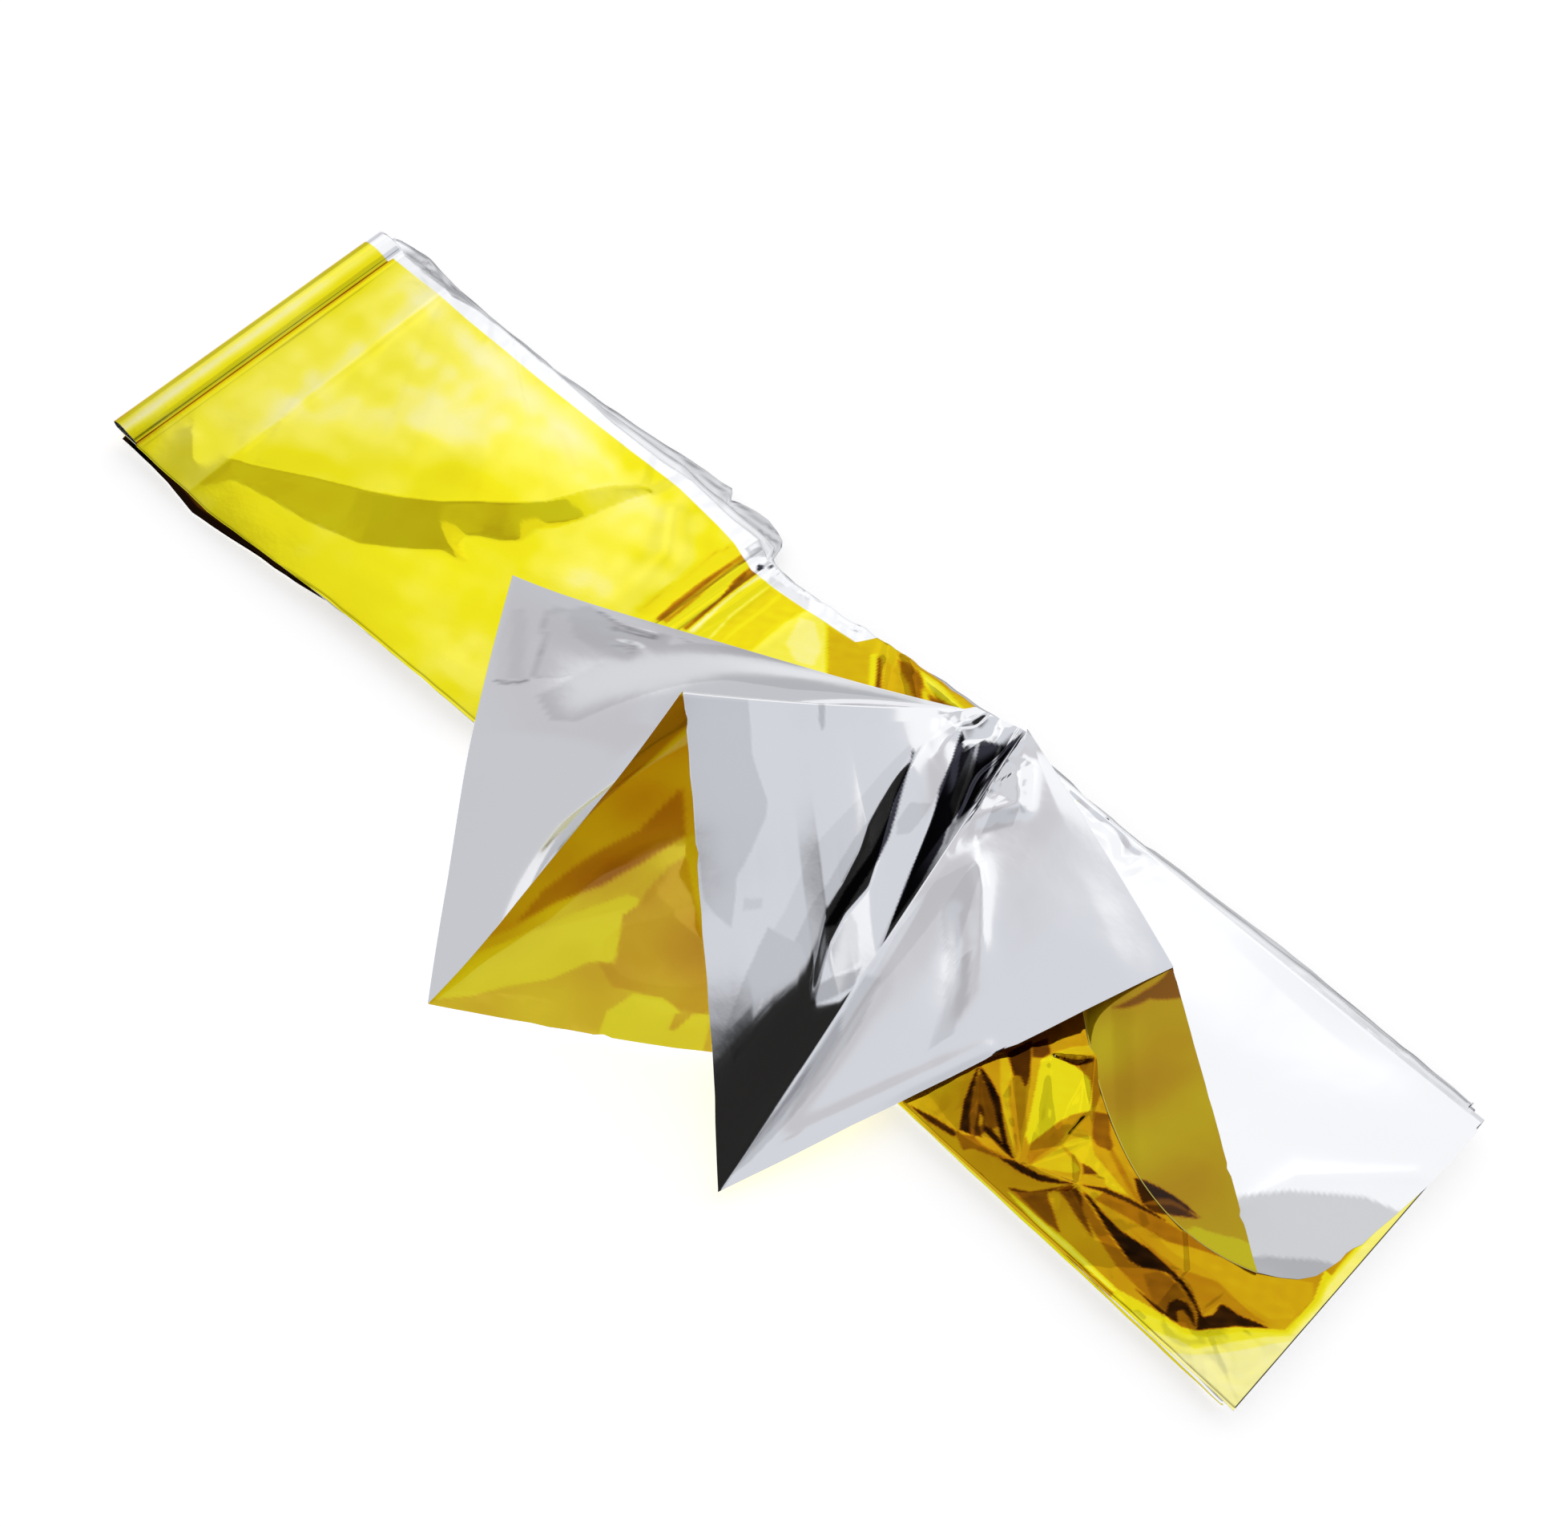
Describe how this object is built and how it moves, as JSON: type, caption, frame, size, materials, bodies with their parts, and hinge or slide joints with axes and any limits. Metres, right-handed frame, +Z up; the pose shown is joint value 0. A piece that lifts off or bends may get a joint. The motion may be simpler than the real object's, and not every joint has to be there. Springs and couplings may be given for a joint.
{
  "type": "emergency foil blanket",
  "caption": "Partly unfolded rescue blanket of metallised film, gold on one face and silver on the other: a flat layered strip with a fan of pleats pulled out over one long edge.",
  "frame": {"origin": "middle of the part's box, on the surface it lies on", "axes": "+X along the folded strip towards its flat right end, +Y across the strip away from the fan, +Z up"},
  "size_m": [0.356, 0.1452, 0.0398],
  "materials": {
    "film": "thin metallised polyester film, mirror bright: gold lacquer on one face, bare silver on the other"
  },
  "bodies": {
    "root": {"foil_blanket": "film"}
  },
  "joints": []
}
